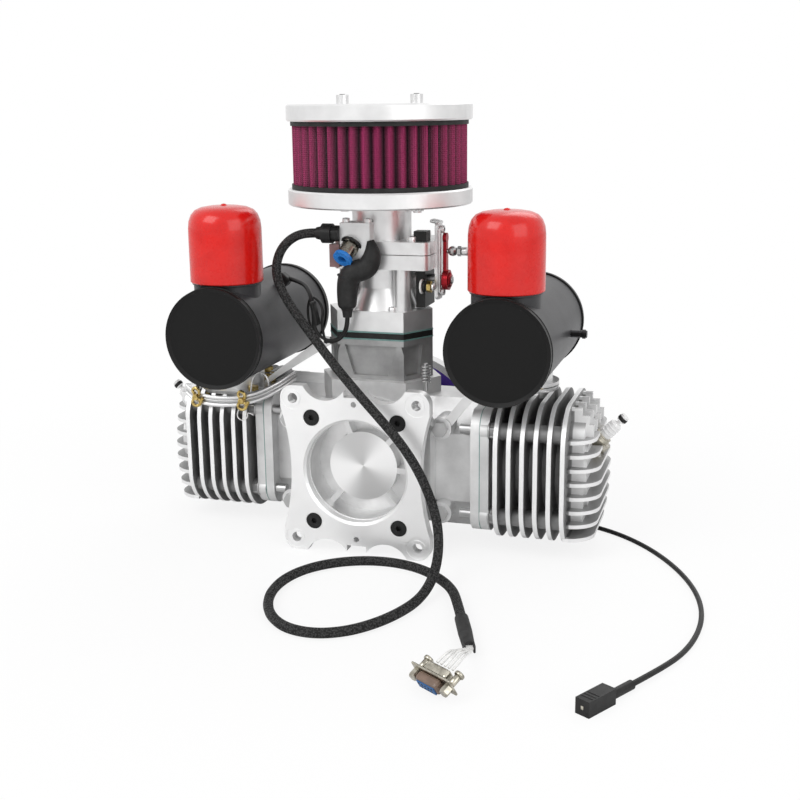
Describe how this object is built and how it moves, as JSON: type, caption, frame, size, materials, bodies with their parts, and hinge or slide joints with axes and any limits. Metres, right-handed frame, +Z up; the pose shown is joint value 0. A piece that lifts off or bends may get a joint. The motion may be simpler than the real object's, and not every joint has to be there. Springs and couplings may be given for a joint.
{
  "type": "flat twin aircraft engine",
  "caption": "Horizontally opposed two-stroke aircraft engine with finned cylinders, can mufflers under soft caps, a tall intake with a drum air filter, and loose cables.",
  "frame": {"origin": "centre of the mounting plate's four-hole pattern, on the plate's rear face", "axes": "+Y along the crankshaft towards the propeller, +X towards the cylinder on the right of the picture, +Z up through the intake"},
  "size_m": [0.4128, 0.3442, 0.309],
  "materials": {
    "satin_plate": "fine-brushed satin",
    "black_screw": "black oxide",
    "cast_case": "bead-blasted casting",
    "cast_cylinder": "bead-blasted casting with machined fin edges",
    "gasket": "printed gasket",
    "black_insulator": "moulded insulator",
    "steel": "ground steel",
    "machined": "machined",
    "black_rubber": "moulded rubber",
    "black_plastic": "moulded plastic",
    "tan_plastic": "moulded plastic",
    "nickel": "nickel plate",
    "brass": "turned brass",
    "blue_plastic": "moulded",
    "red_anodised": "red anodised",
    "purple_anodised": "purple anodised",
    "filter_plate": "brushed",
    "filter_gauze": "oiled cotton gauze under wire mesh",
    "muffler_sheet": "satin sheet",
    "red_vinyl": "dipped vinyl",
    "ceramic": "glazed ceramic",
    "braid": "braided sleeve",
    "lead_jacket": "smooth jacket"
  },
  "bodies": {
    "engine": {"mount_plate": "satin_plate", "mount_plate_screws": "black_screw", "rear_housing": "cast_case", "case_bolts": "black_screw", "crankcase": "cast_case", "base_gaskets": "gasket", "cylinder_studs": "steel", "pistons": "machined", "wrist_pins": "steel", "con_rods": "steel", "crank_throws": "steel", "shaft_seal": "black_rubber", "rear_bearing": "steel", "front_bearing": "steel", "reed_housing": "cast_case", "reed_cage": "machined", "reed_petals": "steel", "intake_gaskets": "gasket", "insulator_band": "black_insulator", "carrier_plate": "satin_plate", "adapter_plate": "machined", "throttle_body": "machined", "intake_neck": "machined", "linkage_bracket": "satin_plate", "throttle_sensor": "black_plastic", "injector_holder": "cast_case", "fuel_fitting": "nickel", "sensor_boot": "black_rubber", "harness_connector": "black_plastic", "temperature_sensor": "tan_plastic", "filter_base_plate": "filter_plate", "filter_top_plate": "filter_plate", "filter_element": "filter_gauze", "filter_seals": "black_rubber", "filter_posts": "nickel", "exhaust_headers": "muffler_sheet", "flange_bolts": "brass", "muffler_struts": "satin_plate", "spark_plug_shells": "nickel", "spark_plug_insulators": "ceramic", "hall_sensor": "black_plastic", "cylinder_left": "cast_cylinder", "cylinder_right": "cast_cylinder", "muffler_left": "muffler_sheet", "muffler_right": "muffler_sheet", "harness_cable": "braid", "harness_plug": "black_plastic", "sensor_lead": "lead_jacket", "sensor_lead_plug": "black_plastic"},
    "crank": {"crankshaft_front": "steel", "flywheel": "purple_anodised", "prop_hub": "purple_anodised", "hub_bolt": "steel"},
    "throttle": {"throttle_shaft": "steel", "throttle_butterfly": "machined", "throttle_lever": "red_anodised", "lever_ball_joint": "steel"},
    "collar": {"fitting_collar": "blue_plastic"},
    "cap_left": {"outlet_cap_left": "red_vinyl"},
    "cap_right": {"outlet_cap_right": "red_vinyl"}
  },
  "joints": [
    {"name": "crank_spin", "type": "hinge", "parent": "engine", "child": "crank", "pos_m": [0, 0.125, 0], "axis": [0, 1, 0], "continuous": true},
    {"name": "throttle_turn", "type": "hinge", "parent": "engine", "child": "throttle", "pos_m": [0, 0.063, 0.125], "axis": [1, 0, 0], "range_deg": [0, 75]},
    {"name": "collar_press", "type": "slide", "parent": "engine", "child": "collar", "axis": [0.2397, 0.7392, 0.6293], "range_m": [0, 0.0009]},
    {"name": "cap_left_lift", "type": "slide", "parent": "engine", "child": "cap_left", "axis": [0, 0, 1], "range_m": [0, 0.06]},
    {"name": "cap_right_lift", "type": "slide", "parent": "engine", "child": "cap_right", "axis": [0, 0, 1], "range_m": [0, 0.06]}
  ]
}
